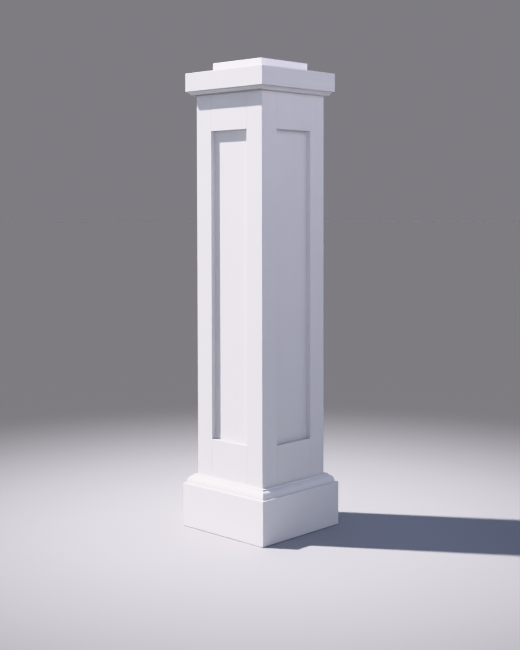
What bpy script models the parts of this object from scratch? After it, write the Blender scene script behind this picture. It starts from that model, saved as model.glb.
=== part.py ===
"""Square newel post of cellular PVC: a hollow frame-and-panel shaft, a mitred plinth and a stepped cap.

Units are metres and +Z is up. The origin is at the middle of the post's footprint, on the ground.
Each side is drawn once as the front, which faces -Y, and turned about Z for the other three.
"""

import math

import bmesh
import bpy
from mathutils import Matrix

# Boards of the shaft. Stiles and rails are one thickness, and a thinner panel is let into their backs.
SHAFT_WIDTH = 0.235
SHAFT_HEIGHT = 1.1711
FRAME_THICKNESS = 0.019
STILE_WIDTH = 0.0537
TOP_RAIL_HEIGHT = 0.1327
BOTTOM_RAIL_HEIGHT = 0.2379
PANEL_RECESS = 0.0125
PANEL_THICKNESS = 0.006
RABBET_WIDTH = 0.010
PANEL_CLEARANCE = 0.0005

# Plinth: four boards that slip round the foot of the shaft.
PLINTH_HEIGHT = 0.115
PLINTH_THICKNESS = 0.0254
PLINTH_CLEARANCE = 0.0025

# Base moulding: a square bead over an ovolo, planted on the plinth's top edge.
BASE_MOULDING_HEIGHT = 0.0222
BASE_MOULDING_WIDTH = 0.0203
BEAD_HEIGHT = 0.0034
BEAD_WIDTH = 0.0088
BEAD_EASING = 0.0016
OVOLO_FOOT = 0.003

# Cap: a mitred fascia round the head of the shaft, a deck let in flush, and a square block on top.
FASCIA_CLEARANCE = 0.002
FASCIA_THICKNESS = 0.019
FASCIA_HEIGHT = 0.0478
DECK_THICKNESS = 0.019
BLOCK_WIDTH = 0.1746
BLOCK_THICKNESS = 0.026

# Bed moulding: an ogee under the fascia, which covers the gap round the shaft.
BED_MOULDING_HEIGHT = 0.0095
BED_MOULDING_WIDTH = 0.0155
BED_MOULDING_CLEARANCE = 0.001
BED_FILLET = 0.0012
BED_SOFFIT = 0.007
OGEE_SWING = 0.6

# Pieces that touch keep this gap between their solids. The angle is in degrees.
JOINT_GAP = 0.0003
CUTTER_MARGIN = 0.005
WELD_DISTANCE = 0.000001
CURVE_STEPS = 10
SMOOTH_ANGLE = 30

# Colour and roughness of each kind of piece. All are the same white sheet, some handled more than others.
WHITE = (0.86, 0.85, 0.87, 1.0)
FOOT_WHITE = (0.83, 0.82, 0.84, 1.0)
FINISHES = {
    "stile": (WHITE, 0.42),
    "rail": (WHITE, 0.43),
    "panel": (WHITE, 0.45),
    "plinth": (FOOT_WHITE, 0.47),
    "base_moulding": (FOOT_WHITE, 0.40),
    "bed_moulding": (WHITE, 0.40),
    "cap_fascia": (WHITE, 0.42),
    "cap_deck": (WHITE, 0.48),
    "cap_block": (WHITE, 0.46),
}
SIDES = {"front": 0, "right": 90, "back": 180, "left": 270}

mitre_gap = JOINT_GAP / math.sqrt(2)
shaft_half = SHAFT_WIDTH / 2
opening_half = shaft_half - STILE_WIDTH
opening_bottom = BOTTOM_RAIL_HEIGHT
opening_top = SHAFT_HEIGHT - TOP_RAIL_HEIGHT
fascia_inner = shaft_half + FASCIA_CLEARANCE
fascia_outer = fascia_inner + FASCIA_THICKNESS
deck_bottom = SHAFT_HEIGHT + JOINT_GAP
cap_top = deck_bottom + DECK_THICKNESS
fascia_bottom = cap_top - FASCIA_HEIGHT


def clear_scene():
    """Removes every object, so that the file holds only the post."""
    for old in list(bpy.data.objects):
        bpy.data.objects.remove(old)


def new_collection(name):
    """A new collection in the scene."""
    made = bpy.data.collections.new(name)
    bpy.context.scene.collection.children.link(made)
    return made


def pvc(kind):
    """Satin white PVC as a plain material for one kind of piece."""
    colour, roughness = FINISHES[kind]
    material = bpy.data.materials.new(f"pvc_{kind}")
    material.use_nodes = True
    shader = material.node_tree.nodes["Principled BSDF"]
    shader.inputs["Base Color"].default_value = colour
    shader.inputs["Roughness"].default_value = roughness
    shader.inputs["Metallic"].default_value = 0.0
    return material


def extruded_outline(outline, length):
    """A closed mesh of an outline drawn in X and Y, extruded along Z and centred on Z 0."""
    curve = bpy.data.curves.new("outline", "CURVE")
    curve.dimensions = "2D"
    curve.fill_mode = "BOTH"
    curve.extrude = length / 2
    spline = curve.splines.new("POLY")
    spline.points.add(len(outline) - 1)
    for point, (x, y) in zip(spline.points, outline):
        point.co = (x, y, 0, 1)
    spline.use_cyclic_u = True
    drawing = bpy.data.objects.new("outline", curve)
    bpy.context.scene.collection.objects.link(drawing)
    bpy.context.view_layer.update()
    evaluated = drawing.evaluated_get(bpy.context.evaluated_depsgraph_get())
    mesh = bpy.data.meshes.new_from_object(evaluated)
    bpy.data.objects.remove(drawing)
    bpy.data.curves.remove(curve)
    weld(mesh)
    return mesh


def weld(mesh):
    """Joins the loose caps of a converted curve to its walls."""
    work = bmesh.new()
    work.from_mesh(mesh)
    bmesh.ops.remove_doubles(work, verts=work.verts, dist=WELD_DISTANCE)
    bmesh.ops.recalc_face_normals(work, faces=work.faces)
    work.to_mesh(mesh)
    work.free()


def mitred_run(profile):
    """A length of board or moulding along the front, mitred at 45 degrees to meet its neighbours.

    The profile's points are (distance out from the post's middle, height).
    """
    mesh = extruded_outline(profile, SHAFT_WIDTH)
    mesh.transform(Matrix(((0, 0, -1, 0), (-1, 0, 0, 0), (0, 1, 0, 0), (0, 0, 0, 1))))
    for vertex in mesh.vertices:
        distance_out = -vertex.co.y
        vertex.co.x = math.copysign(distance_out - mitre_gap, vertex.co.x)
    mesh.shade_smooth()
    mesh.set_sharp_from_angle(angle=math.radians(SMOOTH_ANGLE))
    return mesh


def box(size, centre):
    """A rectangular board as a mesh."""
    work = bmesh.new()
    bmesh.ops.create_cube(work, size=1)
    bmesh.ops.scale(work, vec=size, verts=work.verts)
    bmesh.ops.translate(work, vec=centre, verts=work.verts)
    mesh = bpy.data.meshes.new("board")
    work.to_mesh(mesh)
    work.free()
    return mesh


def arc(centre, radii, start, end):
    """Points along an ellipse's arc, from the start angle to the end angle in degrees."""
    points = []
    for step in range(CURVE_STEPS + 1):
        angle = math.radians(start + (end - start) * step / CURVE_STEPS)
        points.append((centre[0] + radii[0] * math.cos(angle), centre[1] + radii[1] * math.sin(angle)))
    return points


def place(name, mesh, material, collection, parent=None):
    """Adds a piece to the collection, on the side that carries it."""
    piece = bpy.data.objects.new(name, mesh)
    if not mesh.materials:
        mesh.materials.append(material)
    collection.objects.link(piece)
    piece.parent = parent
    return piece


def stile_mesh(hand):
    """An upright of the frame, square at the opening and mitred at the post's corner. hand is -1 or 1."""
    back = shaft_half - FRAME_THICKNESS
    outline = [
        (opening_half, -shaft_half),
        (shaft_half - mitre_gap, -shaft_half),
        (back - mitre_gap, -back),
        (opening_half, -back),
    ]
    mesh = extruded_outline([(hand * x, y) for x, y in outline], SHAFT_HEIGHT)
    mesh.transform(Matrix.Translation((0, 0, SHAFT_HEIGHT / 2)))
    return mesh


def rail_mesh(bottom, top):
    """A cross rail of the frame, butted between the stiles."""
    width = 2 * (opening_half - JOINT_GAP)
    size = (width, FRAME_THICKNESS, top - bottom)
    return box(size, (0, FRAME_THICKNESS / 2 - shaft_half, (bottom + top) / 2))


def panel_mesh():
    """The flat sheet behind the opening, held in the rabbet with a little room round its edges."""
    half = opening_half + RABBET_WIDTH - PANEL_CLEARANCE
    bottom = opening_bottom - RABBET_WIDTH + PANEL_CLEARANCE
    top = opening_top + RABBET_WIDTH - PANEL_CLEARANCE
    front = shaft_half - PANEL_RECESS - JOINT_GAP
    size = (2 * half, PANEL_THICKNESS, top - bottom)
    return box(size, (0, PANEL_THICKNESS / 2 - front, (bottom + top) / 2))


def rabbet_cutter(side, collection):
    """The pocket that takes the panel, cut from the back of the stiles and rails."""
    front = shaft_half - PANEL_RECESS
    back = shaft_half - FRAME_THICKNESS - CUTTER_MARGIN
    size = (
        2 * (opening_half + RABBET_WIDTH),
        front - back,
        opening_top - opening_bottom + 2 * RABBET_WIDTH,
    )
    centre = (0, -(front + back) / 2, (opening_top + opening_bottom) / 2)
    cutter = bpy.data.objects.new("panel_rabbet", box(size, centre))
    collection.objects.link(cutter)
    cutter.parent = side
    cutter.hide_render = True
    cutter.display_type = "WIRE"
    return cutter


def base_moulding_profile():
    """Square bead over an ovolo, standing on the plinth against the shaft.

    The ovolo is part of a circle centred level with its foot, which meets the bead at a slope.
    """
    back = shaft_half + JOINT_GAP
    front = back + BASE_MOULDING_WIDTH
    foot = PLINTH_HEIGHT + JOINT_GAP
    top = foot + BASE_MOULDING_HEIGHT
    bead_front = back + BEAD_WIDTH
    ovolo_foot = foot + OVOLO_FOOT
    run = front - bead_front
    rise = top - BEAD_HEIGHT - ovolo_foot
    radius = (run**2 + rise**2) / (2 * run)
    slope = math.degrees(math.atan2(rise, radius - run))
    easing = (bead_front - BEAD_EASING, top - BEAD_EASING)
    return (
        [(back, foot), (front, foot)]
        + arc((front - radius, ovolo_foot), (radius, radius), 0, slope)
        + arc(easing, (BEAD_EASING, BEAD_EASING), 0, 90)
        + [(back, top)]
    )


def bed_moulding_profile():
    """An ogee between a fillet under the fascia and a narrow soffit beside the shaft."""
    back = shaft_half + BED_MOULDING_CLEARANCE
    front = back + BED_MOULDING_WIDTH
    top = fascia_bottom - JOINT_GAP
    foot = top - BED_MOULDING_HEIGHT
    ogee_top = top - BED_FILLET
    ogee_width = BED_MOULDING_WIDTH - BED_SOFFIT
    points = [(back, foot)]
    for step in range(CURVE_STEPS + 1):
        rise = step / CURVE_STEPS
        swing = OGEE_SWING * math.sin(2 * math.pi * rise) / (2 * math.pi)
        height = foot + (ogee_top - foot) * (rise - swing)
        points.append((back + BED_SOFFIT + ogee_width * rise, height))
    return points + [(front, top), (back, top)]


def rectangle(back, front, bottom, top):
    """A plain board's profile."""
    return [(back, bottom), (front, bottom), (front, top), (back, top)]


def build_shaft(side_name, side, materials, parts, cutters):
    """Frame and panel of one side."""
    cutter = rabbet_cutter(side, cutters)
    frame = {
        f"stile_{side_name}_left": stile_mesh(-1),
        f"stile_{side_name}_right": stile_mesh(1),
        f"rail_{side_name}_top": rail_mesh(opening_top, SHAFT_HEIGHT),
        f"rail_{side_name}_bottom": rail_mesh(0, opening_bottom),
    }
    for name, mesh in frame.items():
        kind = name.split("_")[0]
        piece = place(name, mesh, materials[kind], parts, side)
        rabbet = piece.modifiers.new("rabbet", "BOOLEAN")
        rabbet.operation = "DIFFERENCE"
        rabbet.object = cutter
    place(f"panel_{side_name}", panel_mesh(), materials["panel"], parts, side)


def build_mitred_pieces(side_name, side, materials, parts):
    """Plinth board, base moulding, bed moulding and fascia of one side."""
    plinth_back = shaft_half + PLINTH_CLEARANCE
    profiles = {
        "plinth": rectangle(plinth_back, plinth_back + PLINTH_THICKNESS, 0, PLINTH_HEIGHT),
        "base_moulding": base_moulding_profile(),
        "bed_moulding": bed_moulding_profile(),
        "cap_fascia": rectangle(fascia_inner, fascia_outer, fascia_bottom, cap_top),
    }
    for kind, profile in profiles.items():
        place(f"{kind}_{side_name}", mitred_run(profile), materials[kind], parts, side)


def build_cap_top(materials, parts):
    """The deck that rests on the shaft inside the fascia, and the block on it."""
    deck_width = 2 * (fascia_inner - JOINT_GAP)
    deck = box((deck_width, deck_width, DECK_THICKNESS), (0, 0, deck_bottom + DECK_THICKNESS / 2))
    block_bottom = cap_top + JOINT_GAP
    block = box((BLOCK_WIDTH, BLOCK_WIDTH, BLOCK_THICKNESS), (0, 0, block_bottom + BLOCK_THICKNESS / 2))
    place("cap_deck", deck, materials["cap_deck"], parts)
    place("cap_block", block, materials["cap_block"], parts)


def build_post():
    """The whole post, side by side and then the cap's flat boards."""
    clear_scene()
    parts = new_collection("newel_post")
    cutters = new_collection("cutters")
    materials = {kind: pvc(kind) for kind in FINISHES}
    for side_name, turn in SIDES.items():
        side = bpy.data.objects.new(f"side_{side_name}", None)
        parts.objects.link(side)
        side.rotation_euler.z = math.radians(turn)
        build_shaft(side_name, side, materials, parts, cutters)
        build_mitred_pieces(side_name, side, materials, parts)
    build_cap_top(materials, parts)


build_post()
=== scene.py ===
import math
import random

import bmesh
import bpy
from mathutils import Matrix, Vector


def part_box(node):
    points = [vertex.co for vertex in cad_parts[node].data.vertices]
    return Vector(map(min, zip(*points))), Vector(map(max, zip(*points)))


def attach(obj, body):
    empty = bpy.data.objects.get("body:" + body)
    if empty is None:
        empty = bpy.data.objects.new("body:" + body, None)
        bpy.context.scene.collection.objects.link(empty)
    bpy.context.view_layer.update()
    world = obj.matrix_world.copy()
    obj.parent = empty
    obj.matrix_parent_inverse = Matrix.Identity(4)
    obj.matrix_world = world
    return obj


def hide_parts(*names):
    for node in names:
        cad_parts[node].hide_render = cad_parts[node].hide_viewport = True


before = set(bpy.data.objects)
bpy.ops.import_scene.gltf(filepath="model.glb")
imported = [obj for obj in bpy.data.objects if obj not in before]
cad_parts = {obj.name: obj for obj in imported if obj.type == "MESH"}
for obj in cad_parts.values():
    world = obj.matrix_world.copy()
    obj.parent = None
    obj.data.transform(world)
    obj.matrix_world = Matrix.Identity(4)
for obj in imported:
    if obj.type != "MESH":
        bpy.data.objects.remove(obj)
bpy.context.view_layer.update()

# Stiles: two uprights on each side of the hollow shaft, sawn from white cellular PVC sheet.
# Each is mitred and glued to its neighbour at the post's corner, and the corner is sanded to a
# small round. The back is rabbeted to take the panel.
SIDES = {"front": 0, "right": 90, "back": 180, "left": 270}
CORNER_EASING = 0.0011
CORNER_STEPS = 3
EDGE_EASING = 0.0004
EDGE_STEPS = 2
MITRE_ROOM = 0.00004
MERGE_DISTANCE = 0.000002
CUT_MARGIN = 0.004
STILE_ROUGHNESS = 0.42
SHARP_ANGLE = math.radians(38)
FLAT_WEIGHT = 100

# The sheet's white, its rubbed spots, the dust on it and the painted shade low down. The clouded
# and streaked tones are shares of the white. A pattern is a noise's scale, detail and roughness.
SHEET_WHITE = (0.845, 0.832, 0.850, 1.0)
RUBBED_WHITE = (0.800, 0.790, 0.812, 1.0)
DUST_AND_SHADE_COLOUR = (0.540, 0.535, 0.540, 1.0)
CLOUDED_TONE = (0.972, 0.972, 0.976, 1.0)
STREAKED_TONE = (0.955, 0.957, 0.965, 1.0)
TONE_PATTERN = (7.0, 3.0, 0.55)
LINE_PATTERN = (420.0, 2.0, 0.5)
SKIN_PATTERN = (900.0, 3.0, 0.6)
STREAK_PATTERN = (36.0, 4.0, 0.6)
RUB_PATTERN = (24.0, 5.0, 0.65)
SPLASH_PATTERN = (60.0, 5.0, 0.6)
GRAIN_STRETCH = 0.012
TONE_RANGE = (0.35, 0.65)
TONE_SHARE = 0.55
STREAK_RANGE = (0.45, 0.70)
STREAK_SHARE = 0.35
RUB_RANGE = (0.60, 0.74)
RUB_SHARE = 0.20
LEDGE_RANGE = (0.55, 0.95)
LEDGE_DUST = (0.04, 0.20)
# Towards the ground the sheet darkens by a film: partly dust, partly painted shade for the light that
# falls off low down.
DUST_AND_SHADE_HEIGHT = 1.15
SHEET_DUST_AND_SHADE_SHARE = 0.62
SPLASH_RANGE = (-0.55, 0.45)
SPLASH_SHARE = 0.07
SHEET_IOR = 1.52
GLOSS_RANGE = (0.3, 0.7)
GLOSS_SPREAD = (-0.035, 0.045)
RUB_DULLING = 0.25
DUST_DULLING = 0.6
LINE_RELIEF = 0.55
SKIN_RELIEF = 0.45
RELIEF_STRENGTH = 0.16
RELIEF_DEPTH = 0.0004

stile_low, stile_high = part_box("stile_front_left")
panel_low, panel_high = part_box("panel_front")
shaft_half = -stile_low.y
shaft_top = stile_high.z
frame_back = -stile_high.y
opening_half = -stile_high.x
panel_face = -panel_low.y


def plain_mesh(piece):
    """The piece's shape with its modifiers worked in, as a plain mesh."""
    bpy.context.view_layer.update()
    evaluated = piece.evaluated_get(bpy.context.evaluated_depsgraph_get())
    return bpy.data.meshes.new_from_object(evaluated)


def work_in(piece):
    """Replaces the piece's mesh by its evaluated one and takes the modifiers off."""
    mesh = plain_mesh(piece)
    piece.modifiers.clear()
    piece.data = mesh
    mesh.name = piece.name


def add_object(name, data):
    """A new object in the scene."""
    made = bpy.data.objects.new(name, data)
    bpy.context.scene.collection.objects.link(made)
    return made


def board_from(outline, bottom, top, name):
    """A closed board from an outline in X and Y, standing from bottom to top."""
    shape = bmesh.new()
    ring = [shape.verts.new((x, y, bottom)) for x, y in outline]
    foot = shape.faces.new(ring)
    lifted = bmesh.ops.extrude_face_region(shape, geom=[foot])["geom"]
    corners = [part for part in lifted if isinstance(part, bmesh.types.BMVert)]
    bmesh.ops.translate(shape, vec=(0, 0, top - bottom), verts=corners)
    bmesh.ops.recalc_face_normals(shape, faces=shape.faces)
    mesh = bpy.data.meshes.new(name)
    shape.to_mesh(mesh)
    shape.free()
    return mesh


def box_mesh(low, high, name):
    """A plain box between two corners, for cutting."""
    outline = [(low[0], low[1]), (high[0], low[1]), (high[0], high[1]), (low[0], high[1])]
    return board_from(outline, low[2], high[2], name)


def cut(piece, cutter_mesh):
    """Takes the cutter's shape out of the piece."""
    cutter = add_object("cutter", cutter_mesh)
    boolean = piece.modifiers.new("cut", "BOOLEAN")
    boolean.operation = "DIFFERENCE"
    boolean.solver = "EXACT"
    boolean.object = cutter
    work_in(piece)
    bpy.data.objects.remove(cutter)


def soften(piece):
    """Smooth shading over eased arrises, with the flat faces kept flat."""
    piece.data.shade_smooth()
    piece.data.set_sharp_from_angle(angle=SHARP_ANGLE)
    weighted = piece.modifiers.new("flat faces", "WEIGHTED_NORMAL")
    weighted.keep_sharp = True
    weighted.weight = FLAT_WEIGHT
    work_in(piece)


def rounded_corner(x, y, radius, start, end, steps):
    """Points of an eased corner, round a centre at x and y, with angles in degrees."""
    points = []
    for step in range(steps + 1):
        angle = math.radians(start + (end - start) * step / steps)
        points.append((x + radius * math.cos(angle), y + radius * math.sin(angle)))
    return points


def link(tree, value, socket):
    """Gives a socket a value, or joins it to another node's output."""
    if isinstance(value, bpy.types.NodeSocket):
        tree.links.new(value, socket)
    else:
        socket.default_value = value


def maths(tree, operation, first, second=0.0, third=0.0):
    """The result of one sum on numbers or sockets, in a material or a geometry tree."""
    step = tree.nodes.new("ShaderNodeMath")
    step.operation = operation
    for socket, value in zip(step.inputs, (first, second, third)):
        link(tree, value, socket)
    return step.outputs[0]


def clouds(tree, where, pattern, stretch=(1, 1, 1)):
    """Noise in the post's own coordinates, which may be stretched along the board."""
    mapping = tree.nodes.new("ShaderNodeMapping")
    mapping.inputs["Scale"].default_value = stretch
    tree.links.new(where, mapping.inputs["Vector"])
    noise = tree.nodes.new("ShaderNodeTexNoise")
    for name, value in zip(("Scale", "Detail", "Roughness"), pattern):
        noise.inputs[name].default_value = value
    tree.links.new(mapping.outputs["Vector"], noise.inputs["Vector"])
    return noise.outputs["Fac"]


def remap(tree, value, from_low, from_high, to_low, to_high):
    """A value's range stretched to another and held inside it."""
    ranger = tree.nodes.new("ShaderNodeMapRange")
    ranger.interpolation_type = "SMOOTHSTEP"
    limits = (value, from_low, from_high, to_low, to_high)
    for name, limit in zip(("Value", "From Min", "From Max", "To Min", "To Max"), limits):
        link(tree, limit, ranger.inputs[name])
    return ranger.outputs["Result"]


def blend_colour(tree, share, first, second):
    """One colour over another by a share."""
    mix = tree.nodes.new("ShaderNodeMix")
    mix.data_type = "RGBA"
    link(tree, share, mix.inputs["Factor"])
    for socket, colour in zip((item for item in mix.inputs if item.type == "RGBA"), (first, second)):
        link(tree, colour, socket)
    return next(item for item in mix.outputs if item.type == "RGBA")


def tinted(white, tone):
    """A darker tone of the sheet, each channel by its own share."""
    return tuple(channel * share for channel, share in zip(white, tone))


def height_of(tree, where):
    """The height above the ground."""
    place = tree.nodes.new("ShaderNodeSeparateXYZ")
    tree.links.new(where, place.inputs["Vector"])
    return place.outputs["Z"]


def dust_and_low_shade(tree, where, rubs, low_dust_and_shade_share, dust_height):
    """How much a spot is darkened: dust on ledges, a film that thins with height and is partly dust,
    partly painted shade, and dust splashed low down.
    """
    facing = tree.nodes.new("ShaderNodeSeparateXYZ")
    tree.links.new(tree.nodes.new("ShaderNodeNewGeometry").outputs["Normal"], facing.inputs["Vector"])
    ledge = remap(tree, facing.outputs["Z"], *LEDGE_RANGE, 0.0, 1.0)
    dust_and_shade_amount = maths(tree, "MULTIPLY", ledge, remap(tree, rubs, *TONE_RANGE, *LEDGE_DUST))
    height = height_of(tree, where)
    # The film that thins with height is partly dust and partly painted shade.
    dust_and_shade_amount = maths(tree, "MAXIMUM", dust_and_shade_amount, remap(tree, height, 0.0, DUST_AND_SHADE_HEIGHT, low_dust_and_shade_share, 0.0))
    if dust_height:
        splash = clouds(tree, where, SPLASH_PATTERN)
        ragged = maths(tree, "MULTIPLY_ADD", splash, -dust_height, height)
        low, high = (dust_height * share for share in SPLASH_RANGE)
        dust_and_shade_amount = maths(tree, "ADD", dust_and_shade_amount, remap(tree, ragged, low, high, SPLASH_SHARE, 0.0))
    return dust_and_shade_amount


def pvc(name, grain, roughness, low_dust_and_shade_share=SHEET_DUST_AND_SHADE_SHARE, dust_height=0.0, white=SHEET_WHITE):
    """Satin white PVC sheet: clouded tone, faint lines along the board, fine skin, scuffs, dust, and
    painted shade towards the ground.
    """
    material = bpy.data.materials.new(name)
    material.use_nodes = True
    tree = material.node_tree
    shader = tree.nodes["Principled BSDF"]
    shader.inputs["IOR"].default_value = SHEET_IOR
    where = tree.nodes.new("ShaderNodeTexCoord").outputs["Object"]
    stretch = tuple(GRAIN_STRETCH if axis == grain else 1.0 for axis in "XYZ")
    tone = clouds(tree, where, TONE_PATTERN)
    lines = clouds(tree, where, LINE_PATTERN, stretch)
    skin = clouds(tree, where, SKIN_PATTERN)
    streaks = clouds(tree, where, STREAK_PATTERN, stretch)
    rubs = clouds(tree, where, RUB_PATTERN)

    tone_share = remap(tree, tone, *TONE_RANGE, 0.0, TONE_SHARE)
    colour = blend_colour(tree, tone_share, white, tinted(white, CLOUDED_TONE))
    streak_share = remap(tree, streaks, *STREAK_RANGE, 0.0, STREAK_SHARE)
    colour = blend_colour(tree, streak_share, colour, tinted(white, STREAKED_TONE))
    rub_share = remap(tree, rubs, *RUB_RANGE, 0.0, RUB_SHARE)
    colour = blend_colour(tree, rub_share, colour, RUBBED_WHITE)
    dust_and_shade_amount = dust_and_low_shade(tree, where, rubs, low_dust_and_shade_share, dust_height)
    colour = blend_colour(tree, dust_and_shade_amount, colour, DUST_AND_SHADE_COLOUR)
    tree.links.new(colour, shader.inputs["Base Color"])

    glossiest, dullest = (roughness + spread for spread in GLOSS_SPREAD)
    dulled = remap(tree, streaks, *GLOSS_RANGE, glossiest, dullest)
    dulled = maths(tree, "ADD", dulled, maths(tree, "MULTIPLY", rub_share, RUB_DULLING))
    dulled = maths(tree, "ADD", dulled, maths(tree, "MULTIPLY", dust_and_shade_amount, DUST_DULLING))
    tree.links.new(dulled, shader.inputs["Roughness"])

    relief = maths(tree, "MULTIPLY_ADD", lines, LINE_RELIEF, maths(tree, "MULTIPLY", skin, SKIN_RELIEF))
    bump = tree.nodes.new("ShaderNodeBump")
    bump.inputs["Strength"].default_value = RELIEF_STRENGTH
    bump.inputs["Distance"].default_value = RELIEF_DEPTH
    tree.links.new(relief, bump.inputs["Height"])
    tree.links.new(bump.outputs["Normal"], shader.inputs["Normal"])
    return material


def dress(piece, material):
    """Gives a piece its one material."""
    piece.data.materials.clear()
    piece.data.materials.append(material)


def fit_piece(piece, node, material):
    """Gives the finished piece its material and lets it stand for its node on the post."""
    dress(piece, material)
    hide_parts(node)
    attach(piece, "root")


def turned_about_post(mesh, side):
    """A copy of the front's mesh, turned about the post's middle to another side."""
    copy = mesh.copy()
    copy.transform(Matrix.Rotation(math.radians(SIDES[side]), 4, "Z"))
    return copy


def ease_edges(mesh, wanted, easing, steps):
    """Bevels the edges whose two ends both pass the test."""
    shape = bmesh.new()
    shape.from_mesh(mesh)
    edges = [edge for edge in shape.edges if all(wanted(vertex.co) for vertex in edge.verts)]
    bmesh.ops.bevel(shape, geom=edges, offset=easing, segments=steps, profile=0.5, affect="EDGES")
    bmesh.ops.recalc_face_normals(shape, faces=shape.faces)
    shape.to_mesh(mesh)
    shape.free()


def front_stile(hand):
    """The front's left or right stile, hand -1 or 1, mitred, eased and rabbeted."""
    corner = shaft_half - CORNER_EASING
    eased = rounded_corner(corner, -corner, CORNER_EASING, -90, -45, CORNER_STEPS)
    edge = opening_half + EDGE_EASING
    outline = [(edge, -shaft_half)]
    outline += [(x - MITRE_ROOM, y) for x, y in eased]
    outline += [(frame_back - MITRE_ROOM, -frame_back), (opening_half, -frame_back)]
    outline += rounded_corner(edge, EDGE_EASING - shaft_half, EDGE_EASING, 180, 270, EDGE_STEPS)[:-1]
    mesh = board_from([(hand * x, y) for x, y in outline], 0.0, shaft_top, "stile")
    piece = add_object("stile", mesh)
    rabbet_low = (panel_low.x, -panel_face, panel_low.z)
    rabbet_high = (panel_high.x, CUT_MARGIN - frame_back, panel_high.z)
    cut(piece, box_mesh(rabbet_low, rabbet_high, "rabbet"))
    soften(piece)
    mesh = piece.data
    bpy.data.objects.remove(piece)
    return mesh


stile_material = pvc("pvc_stile", "Z", STILE_ROUGHNESS)
for hand_name, hand in (("left", -1), ("right", 1)):
    front_mesh = front_stile(hand)
    for side in SIDES:
        stile = add_object(f"{side}_stile_{hand_name}", turned_about_post(front_mesh, side))
        fit_piece(stile, f"stile_{side}_{hand_name}", stile_material)

# Rails: a shallow one at the head and a deep one at the foot of each side, from the same sheet.
# They are butted and glued between the stiles, and their backs are rabbeted like the stiles'.
# On the sunny front the joints have opened to a hairline, and on the other sides they are tight.
RAIL_ROUGHNESS = 0.43
RAIL_EASING = 0.0004
TIGHT_EASING = 0.0001
TIGHT_REACH = 0.00022
FACE_REACH = 0.00002
FLAT_ANGLE = math.radians(1)


def merged_copy(node):
    """A welded copy of a solid's mesh, with each flat face in one piece."""
    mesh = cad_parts[node].data.copy()
    shape = bmesh.new()
    shape.from_mesh(mesh)
    bmesh.ops.remove_doubles(shape, verts=shape.verts, dist=MERGE_DISTANCE)
    bmesh.ops.dissolve_limit(shape, angle_limit=FLAT_ANGLE, verts=shape.verts, edges=shape.edges)
    shape.to_mesh(mesh)
    shape.free()
    return mesh


def on_front(place):
    """Whether a point lies on the front's outer face."""
    return place.y < FACE_REACH - shaft_half


def front_rail(level, reach, easing):
    """The front's top or bottom rail, with both ends run out by a reach towards the stiles."""
    mesh = merged_copy(f"rail_front_{level}")
    end = max(vertex.co.x for vertex in mesh.vertices) - MERGE_DISTANCE
    for vertex in mesh.vertices:
        if abs(vertex.co.x) > end:
            vertex.co.x += math.copysign(reach, vertex.co.x)
    ease_edges(mesh, on_front, easing, EDGE_STEPS)
    return mesh


def sided_materials(name, roughness, low_dust_and_shade_share=SHEET_DUST_AND_SHADE_SHARE, dust_height=0.0):
    """The sheet for each side of the post, with its grain along the boards there."""
    along_x = pvc(f"{name}_along_x", "X", roughness, low_dust_and_shade_share, dust_height)
    along_y = pvc(f"{name}_along_y", "Y", roughness, low_dust_and_shade_share, dust_height)
    return {"front": along_x, "right": along_y, "back": along_x, "left": along_y}


rail_materials = sided_materials("pvc_rail", RAIL_ROUGHNESS)
for level in ("top", "bottom"):
    opened = front_rail(level, 0.0, RAIL_EASING)
    tight = front_rail(level, TIGHT_REACH, TIGHT_EASING)
    for side in SIDES:
        rail_mesh = opened if side == "front" else tight
        rail = add_object(f"{side}_rail_{level}", turned_about_post(rail_mesh, side))
        soften(rail)
        fit_piece(rail, f"rail_{side}_{level}", rail_materials[side])

# Panels: one thin flat sheet behind each opening, cut with its length upright.
# It lies loose in the rabbet, so it has no fixings on its face.
PANEL_ROUGHNESS = 0.45

panel_material = pvc("pvc_panel", "Z", PANEL_ROUGHNESS)
for side in SIDES:
    dress(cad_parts[f"panel_{side}"], panel_material)

# Plinth: four thick boards round the foot, mitred and glued at the corners, with eased arrises.
# Something has chipped a small nick out of the near corner, low down, and a shallow step under the
# outer edge keeps it just off the ground.
PLINTH_ROUGHNESS = 0.47
PLINTH_EASING = 0.0013
PLINTH_STEPS = 4
NICK_HEIGHT = 0.0416
NICK_SIZE = 0.0036
NICK_STRETCH = 1.4
NICK_REACH = 0.0010
NICK_SEED = 4
FRONT_FOOT_GAP = 0.0011
OTHER_FOOT_GAP = 0.0016
FOOT_GAP_DEPTH = 0.012
PLINTH_DUST = 0.020
# The base pieces darken towards the ground by this share: partly dust, partly painted shade.
BASE_DUST_AND_SHADE_SHARE = 0.51
CHIP_DETAIL = 2
CHIP_LEAST = 0.78
CHIP_SPREAD = 0.40
TREE_INPUTS = {
    "Profile": "NodeSocketObject",
    "Outer Face": "NodeSocketFloat",
    "Corner Easing": "NodeSocketFloat",
    "Corner Steps": "NodeSocketInt",
    "Mitre Room": "NodeSocketFloat",
    "Side Turn": "NodeSocketFloat",
    "Material": "NodeSocketMaterial",
}


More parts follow.
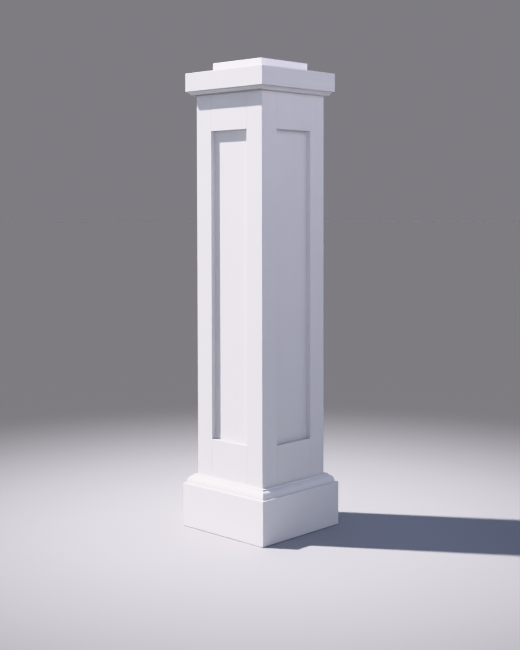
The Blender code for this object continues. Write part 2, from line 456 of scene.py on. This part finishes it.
def swept_profile(tree, given):
    """The drawn profile swept along a line, with each point's place on the profile and its step."""
    drawn = tree.nodes.new("GeometryNodeObjectInfo")
    tree.links.new(given["Profile"], drawn.inputs["Object"])
    profile_place = tree.nodes.new("ShaderNodeSeparateXYZ")
    tree.links.new(tree.nodes.new("GeometryNodeInputPosition").outputs[0], profile_place.inputs[0])
    profile = tree.nodes.new("GeometryNodeCaptureAttribute")
    profile.capture_items.new("FLOAT", "Out")
    profile.capture_items.new("FLOAT", "Rise")
    tree.links.new(drawn.outputs["Geometry"], profile.inputs["Geometry"])
    tree.links.new(profile_place.outputs["X"], profile.inputs["Out"])
    tree.links.new(profile_place.outputs["Y"], profile.inputs["Rise"])

    run = tree.nodes.new("GeometryNodeResampleCurve")
    tree.links.new(tree.nodes.new("GeometryNodeCurvePrimitiveLine").outputs["Curve"], run.inputs["Curve"])
    count = maths(tree, "ADD", maths(tree, "MULTIPLY", given["Corner Steps"], 2.0), 2.0)
    tree.links.new(count, run.inputs["Count"])
    path = tree.nodes.new("GeometryNodeCaptureAttribute")
    path.capture_items.new("FLOAT", "Step")
    tree.links.new(run.outputs["Curve"], path.inputs["Geometry"])
    tree.links.new(tree.nodes.new("GeometryNodeInputIndex").outputs[0], path.inputs["Step"])

    sweep = tree.nodes.new("GeometryNodeCurveToMesh")
    sweep.inputs["Fill Caps"].default_value = True
    tree.links.new(path.outputs["Geometry"], sweep.inputs["Curve"])
    tree.links.new(profile.outputs["Geometry"], sweep.inputs["Profile Curve"])
    return sweep.outputs["Mesh"], profile.outputs["Out"], profile.outputs["Rise"], path.outputs["Step"]


def mitred_place(tree, given, out, rise, step):
    """Where each swept point goes: out by the profile, along to the mitre, and round the corner."""
    steps = given["Corner Steps"]
    far_end = maths(tree, "GREATER_THAN", step, maths(tree, "ADD", steps, 0.5))
    hand = maths(tree, "SUBTRACT", maths(tree, "MULTIPLY", far_end, 2.0), 1.0)
    before = maths(tree, "SUBTRACT", steps, step)
    after = maths(tree, "SUBTRACT", maths(tree, "SUBTRACT", step, steps), 1.0)
    share = maths(tree, "DIVIDE", maths(tree, "MAXIMUM", before, after), steps)
    swing = maths(tree, "MULTIPLY", share, math.pi / 4)

    centre = maths(tree, "SUBTRACT", given["Outer Face"], given["Corner Easing"])
    inner = maths(tree, "MINIMUM", out, centre)
    proud = maths(tree, "MAXIMUM", maths(tree, "SUBTRACT", out, centre), 0.0)
    sideways = maths(tree, "MULTIPLY", proud, maths(tree, "SINE", swing))
    outwards = maths(tree, "MULTIPLY", proud, maths(tree, "COSINE", swing))
    reach = maths(tree, "SUBTRACT", maths(tree, "ADD", inner, sideways), given["Mitre Room"])
    place = tree.nodes.new("ShaderNodeCombineXYZ")
    tree.links.new(maths(tree, "MULTIPLY", hand, reach), place.inputs["X"])
    distance = maths(tree, "ADD", inner, outwards)
    tree.links.new(maths(tree, "MULTIPLY", distance, -1.0), place.inputs["Y"])
    tree.links.new(rise, place.inputs["Z"])
    return place.outputs[0]


def mitred_length_tree():
    """A profile run along one side of a square, mitred at both ends, with its outer corner eased.

    The profile's X is the distance out from the middle and its Y the height. What stands further
    out than the easing's centre is swung round that centre as far as the mitre.
    """
    tree = bpy.data.node_groups.new("mitred_length", "GeometryNodeTree")
    tree.interface.new_socket("Geometry", in_out="INPUT", socket_type="NodeSocketGeometry")
    for name, kind in TREE_INPUTS.items():
        tree.interface.new_socket(name, in_out="INPUT", socket_type=kind)
    tree.interface.new_socket("Geometry", in_out="OUTPUT", socket_type="NodeSocketGeometry")
    given = tree.nodes.new("NodeGroupInput").outputs
    swept, out, rise, step = swept_profile(tree, given)

    laid = tree.nodes.new("GeometryNodeSetPosition")
    tree.links.new(swept, laid.inputs["Geometry"])
    tree.links.new(mitred_place(tree, given, out, rise, step), laid.inputs["Position"])
    welded = tree.nodes.new("GeometryNodeMergeByDistance")
    welded.inputs["Distance"].default_value = MERGE_DISTANCE
    tree.links.new(laid.outputs["Geometry"], welded.inputs["Geometry"])
    turn = tree.nodes.new("ShaderNodeCombineXYZ")
    tree.links.new(given["Side Turn"], turn.inputs["Z"])
    turned = tree.nodes.new("GeometryNodeTransform")
    tree.links.new(welded.outputs["Geometry"], turned.inputs["Geometry"])
    tree.links.new(turn.outputs[0], turned.inputs["Rotation"])
    realised = tree.nodes.new("GeometryNodeRealizeInstances")
    tree.links.new(turned.outputs["Geometry"], realised.inputs["Geometry"])
    finished = tree.nodes.new("GeometryNodeSetMaterial")
    tree.links.new(realised.outputs["Geometry"], finished.inputs["Geometry"])
    tree.links.new(given["Material"], finished.inputs["Material"])
    result = tree.nodes.new("NodeGroupOutput")
    tree.links.new(finished.outputs["Geometry"], result.inputs["Geometry"])
    return tree


def set_inputs(modifier, values):
    """Sets a geometry modifier's inputs, each by its socket's identifier."""
    for item in modifier.node_group.interface.items_tree:
        if item.in_out == "INPUT" and item.name in values:
            modifier[item.identifier] = values[item.name]


def drawn_profile(outline):
    """A closed outline as a curve, for the tree to sweep."""
    curve = bpy.data.curves.new("profile", "CURVE")
    curve.dimensions = "2D"
    spline = curve.splines.new("POLY")
    spline.points.add(len(outline) - 1)
    for point, (x, y) in zip(spline.points, outline):
        point.co = (x, y, 0, 1)
    spline.use_cyclic_u = True
    return add_object("profile", curve)


def mitred_length(name, outline, side, easing, steps, material):
    """One mitred length of a profile on one side of the post, as a plain closed mesh."""
    profile = drawn_profile(outline)
    piece = add_object(name, bpy.data.meshes.new(name))
    modifier = piece.modifiers.new("mitred length", "NODES")
    modifier.node_group = mitred_tree
    set_inputs(modifier, {
        "Profile": profile,
        "Outer Face": max(x for x, y in outline),
        "Corner Easing": easing,
        "Corner Steps": steps,
        "Mitre Room": MITRE_ROOM,
        "Side Turn": math.radians(SIDES[side]),
        "Material": material,
    })
    work_in(piece)
    shape = bmesh.new()
    shape.from_mesh(piece.data)
    bmesh.ops.recalc_face_normals(shape, faces=shape.faces)
    shape.to_mesh(piece.data)
    shape.free()
    bpy.data.objects.remove(profile)
    return piece


def board_profile(node, easing, steps, foot_gap=0.0):
    """A board's cross-section from its solid, with its two outer arrises eased.

    A foot gap is a shallow step under the front edge, which leaves a dark line at the ground.
    """
    low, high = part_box(node)
    back, front = -high.y, -low.y
    foot = low.z + foot_gap
    profile = [(back, low.z)]
    if foot_gap:
        profile += [(front - FOOT_GAP_DEPTH, low.z), (front - FOOT_GAP_DEPTH, foot)]
        profile += rounded_corner(front - EDGE_EASING, foot + EDGE_EASING, EDGE_EASING, -90, 0, EDGE_STEPS)
    else:
        profile += rounded_corner(front - easing, foot + easing, easing, -90, 0, steps)
    profile += rounded_corner(front - easing, high.z - easing, easing, 0, 90, steps)
    return profile + [(back, high.z)]


def chip(seed, size):
    """A small rough lump, for cutting a chip."""
    dice = random.Random(seed)
    shape = bmesh.new()
    bmesh.ops.create_icosphere(shape, subdivisions=CHIP_DETAIL, radius=size)
    for vertex in shape.verts:
        vertex.co *= CHIP_LEAST + CHIP_SPREAD * dice.random()
    mesh = bpy.data.meshes.new("chip")
    shape.to_mesh(mesh)
    shape.free()
    return mesh


mitred_tree = mitred_length_tree()
plinth_materials = sided_materials("pvc_plinth", PLINTH_ROUGHNESS, BASE_DUST_AND_SHADE_SHARE, PLINTH_DUST)
front_plinth_profile = board_profile("plinth_front", PLINTH_EASING, PLINTH_STEPS, FRONT_FOOT_GAP)
other_plinth_profile = board_profile("plinth_front", PLINTH_EASING, PLINTH_STEPS, OTHER_FOOT_GAP)
plinth_face = -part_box("plinth_front")[0].y
nick_reach = plinth_face + NICK_REACH
for side in SIDES:
    plinth_profile = front_plinth_profile if side == "front" else other_plinth_profile
    plinth = mitred_length(
        f"{side}_plinth_board", plinth_profile, side, PLINTH_EASING, PLINTH_STEPS, plinth_materials[side]
    )
    if side in ("front", "right"):
        nick = chip(NICK_SEED, NICK_SIZE)
        stretch = Matrix.Diagonal((1, 1, NICK_STRETCH, 1))
        nick.transform(Matrix.Translation((nick_reach, -nick_reach, NICK_HEIGHT)) @ stretch)
        cut(plinth, nick)
    soften(plinth)
    fit_piece(plinth, f"plinth_{side}", plinth_materials[side])

# Base moulding: an extruded PVC length on the plinth's top edge, a square bead over an ovolo.
# It is mitred round the shaft and glued to it.
BEAD_HEIGHT = 0.0034
BEAD_WIDTH = 0.0088
BEAD_EASING = 0.0016
OVOLO_FOOT = 0.003
OVOLO_STEPS = 20
BEAD_STEPS = 5
MOULDING_ROUGHNESS = 0.40
MOULDING_EASING = 0.0004
MOULDING_STEPS = 2
GLUE_LINE = 0.00002


def lay_round(name, outline, easing, steps, materials):
    """Four mitred lengths of a profile round the post, one on each side."""
    for side in SIDES:
        length = mitred_length(f"{side}_{name}", outline, side, easing, steps, materials[side])
        soften(length)
        fit_piece(length, f"{name}_{side}", materials[side])


moulding_low, moulding_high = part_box("base_moulding_front")
moulding_back = -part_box("stile_front_left")[0].y + GLUE_LINE
moulding_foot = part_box("plinth_front")[1].z + GLUE_LINE
moulding_front = -moulding_low.y
bead_front = moulding_back + BEAD_WIDTH
bead_top = moulding_high.z - BEAD_EASING
ovolo_foot = moulding_foot + OVOLO_FOOT
ovolo_run = moulding_front - bead_front
ovolo_rise = moulding_high.z - BEAD_HEIGHT - ovolo_foot
ovolo_radius = (ovolo_run**2 + ovolo_rise**2) / (2 * ovolo_run)
ovolo_slope = math.degrees(math.atan2(ovolo_rise, ovolo_radius - ovolo_run))
moulding_profile = (
    [(moulding_back, moulding_foot), (moulding_front, moulding_foot)]
    + rounded_corner(moulding_front - ovolo_radius, ovolo_foot, ovolo_radius, 0, ovolo_slope, OVOLO_STEPS)
    + rounded_corner(bead_front - BEAD_EASING, bead_top, BEAD_EASING, 0, 90, BEAD_STEPS)
    + [(moulding_back, moulding_high.z)]
)
base_materials = sided_materials("pvc_base_moulding", MOULDING_ROUGHNESS, BASE_DUST_AND_SHADE_SHARE)
lay_round("base_moulding", moulding_profile, MOULDING_EASING, MOULDING_STEPS, base_materials)

# Bed moulding: a small ogee length glued under the fascia, mitred at the corners.
# It covers the gap between the cap and the shaft, and along its foot in front it has painted shade.
BED_FILLET = 0.0012
BED_SOFFIT = 0.007
OGEE_SWING = 0.6
OGEE_STEPS = 24
PAINTED_SHADE_COLOUR = (0.200, 0.210, 0.260, 1.0)
PAINTED_SHADE_RISE = 0.0030
PAINTED_SHADE_SHARE = 0.62


def add_painted_shade(material, foot, rise, share):
    """Darkens a material with painted shade along a piece's foot, fading out by the rise above it."""
    tree = material.node_tree
    base = tree.nodes["Principled BSDF"].inputs["Base Color"]
    unshaded_colour = base.links[0].from_socket
    height = height_of(tree, tree.nodes.new("ShaderNodeTexCoord").outputs["Object"])
    painted_shade_share = remap(tree, height, foot, foot + rise, share, 0.0)
    tree.links.new(blend_colour(tree, painted_shade_share, unshaded_colour, PAINTED_SHADE_COLOUR), base)


bed_low, bed_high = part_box("bed_moulding_front")
bed_back = -bed_high.y
bed_front = -bed_low.y
ogee_start = bed_back + BED_SOFFIT
ogee_rise = bed_high.z - BED_FILLET - bed_low.z
bed_profile = [(bed_back, bed_low.z)]
for ogee_step in range(OGEE_STEPS + 1):
    ogee_share = ogee_step / OGEE_STEPS
    ogee_bend = OGEE_SWING * math.sin(2 * math.pi * ogee_share) / (2 * math.pi)
    ogee_out = ogee_start + (bed_front - ogee_start) * ogee_share
    bed_profile.append((ogee_out, bed_low.z + ogee_rise * (ogee_share - ogee_bend)))
bed_profile += [(bed_front, bed_high.z), (bed_back, bed_high.z)]
bed_materials = {
    "front": pvc("pvc_bed_moulding_front", "X", MOULDING_ROUGHNESS),
    "right": pvc("pvc_bed_moulding_along_y", "Y", MOULDING_ROUGHNESS),
    "back": pvc("pvc_bed_moulding_back", "X", MOULDING_ROUGHNESS),
}
# Painted shade: the front length darkens along its foot, where the cap's underside gets little light.
add_painted_shade(bed_materials["front"], bed_low.z, PAINTED_SHADE_RISE, PAINTED_SHADE_SHARE)
bed_materials["left"] = bed_materials["right"]
lay_round("bed_moulding", bed_profile, MOULDING_EASING, MOULDING_STEPS, bed_materials)

# Fascia: four boards on edge that make the sides of the cap, mitred and glued at the corners.
# Their outer arrises are lightly sanded.
FASCIA_ROUGHNESS = 0.42
FASCIA_EASING = 0.0011
FASCIA_STEPS = 3

fascia_materials = sided_materials("pvc_fascia", FASCIA_ROUGHNESS)
fascia_profile = board_profile("cap_fascia_front", FASCIA_EASING, FASCIA_STEPS)
lay_round("cap_fascia", fascia_profile, FASCIA_EASING, FASCIA_STEPS, fascia_materials)

# Deck: one flat board let in flush between the fascia boards, which closes the top.
# Its edges show only as a fine square joint on top of the cap.
DECK_ROUGHNESS = 0.48

dress(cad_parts["cap_deck"], pvc("pvc_deck", "X", DECK_ROUGHNESS))

# Block: a square of thick board glued to the deck, for a finial or a light, with sanded arrises.
BLOCK_ROUGHNESS = 0.46
BLOCK_EASING = 0.0014
# Painted light: the block's sheet is whiter than the other boards, for the light bounced onto it off the
# deck.
BLOCK_PAINTED_LIGHT_WHITE = (0.900, 0.884, 0.894, 1.0)
BLOCK_STEPS = 4

block_mesh = merged_copy("cap_block")
ease_edges(block_mesh, lambda place: True, BLOCK_EASING, BLOCK_STEPS)
block = add_object("top_block", block_mesh)
soften(block)
block_material = pvc("pvc_block", "X", BLOCK_ROUGHNESS, white=BLOCK_PAINTED_LIGHT_WHITE)
fit_piece(block, "cap_block", block_material)

# Floor: a plain pale ground under the post, which darkens into the backdrop far out.
FLOOR_RADIUS = 60.0
FLOOR_SEGMENTS = 128
FLOOR_ROUGHNESS = 0.9
FLOOR_PALE = (0.384, 0.382, 0.402, 1.0)
FLOOR_FAR = (0.122, 0.122, 0.128, 1.0)
FLOOR_FADE = (0.25, 1.9)

floor_shape = bmesh.new()
bmesh.ops.create_circle(floor_shape, cap_ends=True, segments=FLOOR_SEGMENTS, radius=FLOOR_RADIUS)
floor_mesh = bpy.data.meshes.new("floor")
floor_shape.to_mesh(floor_mesh)
floor_shape.free()
floor = add_object("floor", floor_mesh)
floor_material = bpy.data.materials.new("pale_floor")
floor_material.use_nodes = True
floor_tree = floor_material.node_tree
floor_shader = floor_tree.nodes["Principled BSDF"]
floor_shader.inputs["Roughness"].default_value = FLOOR_ROUGHNESS
floor_shader.inputs["Specular IOR Level"].default_value = 0.0
floor_place = floor_tree.nodes.new("ShaderNodeTexCoord").outputs["Object"]
floor_distance = floor_tree.nodes.new("ShaderNodeVectorMath")
floor_distance.operation = "LENGTH"
floor_tree.links.new(floor_place, floor_distance.inputs[0])
fade = remap(floor_tree, floor_distance.outputs["Value"], *FLOOR_FADE, 0.0, 1.0)
floor_colour = blend_colour(floor_tree, fade, FLOOR_PALE, FLOOR_FAR)
floor_tree.links.new(floor_colour, floor_shader.inputs["Base Color"])
floor_mesh.materials.append(floor_material)

# Light: one key lamp from the upper left of the front, a broad soft lamp high on the shaded side,
# and a cool fill from all round that is brightest near the horizon.
KEY_TRAVEL = (0.502, 0.335, -0.797)
KEY_STRENGTH = 6.65
KEY_COLOUR = (1.0, 0.934, 0.886)
KEY_SPREAD = math.radians(1.6)
KEY_DISTANCE = 4.0
SOFT_PLACE = (1.35, 0.30, 1.85)
SOFT_AIM = (0.1, 0.0, 1.05)
SOFT_WIDTH = 1.9
SOFT_DEPTH = 0.7
SOFT_STRENGTH = 4.2
SOFT_COLOUR = (0.933, 0.800, 1.0)
FILL_LOW = (0.845, 0.894, 1.009, 1.0)
FILL_HIGH = (0.167, 0.227, 0.366, 1.0)
FILL_RISE = 0.9
BACKDROP_COLOUR = (0.246, 0.240, 0.261, 1.0)

key_lamp = bpy.data.lights.new("key", "SUN")
key_lamp.energy = KEY_STRENGTH
key_lamp.color = KEY_COLOUR
key_lamp.angle = KEY_SPREAD
key = add_object("key", key_lamp)
key.rotation_euler = Vector(KEY_TRAVEL).to_track_quat("-Z", "Y").to_euler()
key.location = Vector(KEY_TRAVEL) * -KEY_DISTANCE

soft_lamp = bpy.data.lights.new("soft", "AREA")
soft_lamp.shape = "RECTANGLE"
soft_lamp.size = SOFT_WIDTH
soft_lamp.size_y = SOFT_DEPTH
soft_lamp.energy = SOFT_STRENGTH
soft_lamp.color = SOFT_COLOUR
soft = add_object("soft", soft_lamp)
soft.location = SOFT_PLACE
soft.rotation_euler = (Vector(SOFT_AIM) - soft.location).to_track_quat("-Z", "Y").to_euler()

world = bpy.data.worlds.new("studio")
bpy.context.scene.world = world
world.use_nodes = True
sky = world.node_tree
sky.nodes.clear()
fill = sky.nodes.new("ShaderNodeBackground")
fill_place = sky.nodes.new("ShaderNodeSeparateXYZ")
sky.links.new(sky.nodes.new("ShaderNodeTexCoord").outputs["Generated"], fill_place.inputs["Vector"])
fill_share = remap(sky, fill_place.outputs["Z"], 0.0, FILL_RISE, 0.0, 1.0)
sky.links.new(blend_colour(sky, fill_share, FILL_LOW, FILL_HIGH), fill.inputs["Color"])
backdrop = sky.nodes.new("ShaderNodeBackground")
backdrop.inputs["Color"].default_value = BACKDROP_COLOUR
seen = sky.nodes.new("ShaderNodeMixShader")
sky.links.new(sky.nodes.new("ShaderNodeLightPath").outputs["Is Camera Ray"], seen.inputs["Fac"])
sky.links.new(fill.outputs[0], seen.inputs[1])
sky.links.new(backdrop.outputs[0], seen.inputs[2])
sky.links.new(seen.outputs[0], sky.nodes.new("ShaderNodeOutputWorld").inputs["Surface"])

# Camera: at eye height off the post's near corner, level enough to keep the sides upright.
# The picture is 520 by 650 pixels, and the post stands a little above its middle.
PICTURE_WIDTH = 520
PICTURE_HEIGHT = 650
SENSOR = 36.0
CAMERA_TURN = math.radians(43.6434)
CAMERA_DISTANCE = 2.9969
CAMERA_HEIGHT = 0.8444
CAMERA_PITCH = math.radians(2.1941)
CAMERA_ROLL = math.radians(-0.1086)
FOCAL_PIXELS = 1141.27
CENTRE_X = 260.5505
CENTRE_Y = 250.0

back = Vector((math.sin(CAMERA_TURN), -math.cos(CAMERA_TURN), 0))
side_axis = Vector((math.cos(CAMERA_TURN), math.sin(CAMERA_TURN), 0))
up = Vector((0, 0, 1))
forward = -back * math.cos(CAMERA_PITCH) - up * math.sin(CAMERA_PITCH)
upright = up * math.cos(CAMERA_PITCH) - back * math.sin(CAMERA_PITCH)
camera_right = side_axis * math.cos(CAMERA_ROLL) + upright * math.sin(CAMERA_ROLL)
camera_up = upright * math.cos(CAMERA_ROLL) - side_axis * math.sin(CAMERA_ROLL)
camera_data = bpy.data.cameras.new("camera")
camera_data.sensor_fit = "AUTO"
camera_data.sensor_width = SENSOR
camera_data.lens = FOCAL_PIXELS * SENSOR / PICTURE_HEIGHT
camera_data.shift_x = (PICTURE_WIDTH / 2 - CENTRE_X) / PICTURE_HEIGHT
camera_data.shift_y = (CENTRE_Y - PICTURE_HEIGHT / 2) / PICTURE_HEIGHT
camera = add_object("camera", camera_data)
turn = Matrix((camera_right, camera_up, -forward)).transposed()
camera.matrix_world = Matrix.Translation(back * CAMERA_DISTANCE + up * CAMERA_HEIGHT) @ turn.to_4x4()
bpy.context.scene.camera = camera
bpy.context.scene.view_settings.view_transform = "Khronos PBR Neutral"
